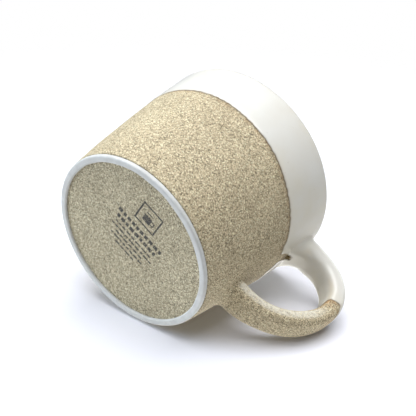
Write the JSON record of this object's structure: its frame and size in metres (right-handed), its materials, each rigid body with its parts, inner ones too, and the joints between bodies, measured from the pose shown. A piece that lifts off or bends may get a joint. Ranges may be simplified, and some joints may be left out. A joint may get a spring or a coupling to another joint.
{
  "type": "stoneware mug",
  "caption": "Hand-dipped stoneware mug, speckled sand coat on the lower wall, base and handle, glossy white glaze on the rim band, inside and upper handle.",
  "frame": {"origin": "centre of the foot ring's resting plane, on the mug's axis", "axes": "+Z along the mug's axis from the foot to the mouth, +X towards the handle"},
  "size_m": [0.1287, 0.0968, 0.077],
  "materials": {
    "bare_clay": "bisque",
    "sand_glaze": "matt speckled",
    "white_glaze": "gloss",
    "stamp_print": "matt print"
  },
  "bodies": {
    "root": {"cup_wall": "bare_clay", "cup_floor": "bare_clay", "foot_ring": "bare_clay", "wall_sand_coat": "sand_glaze", "base_sand_coat": "sand_glaze", "rim_glaze": "white_glaze", "liner_glaze": "white_glaze", "handle_strap": "bare_clay", "lower_joint": "sand_glaze", "upper_joint": "white_glaze", "handle_sand_coat": "sand_glaze", "handle_glaze": "white_glaze", "base_mark": "stamp_print"}
  },
  "joints": []
}
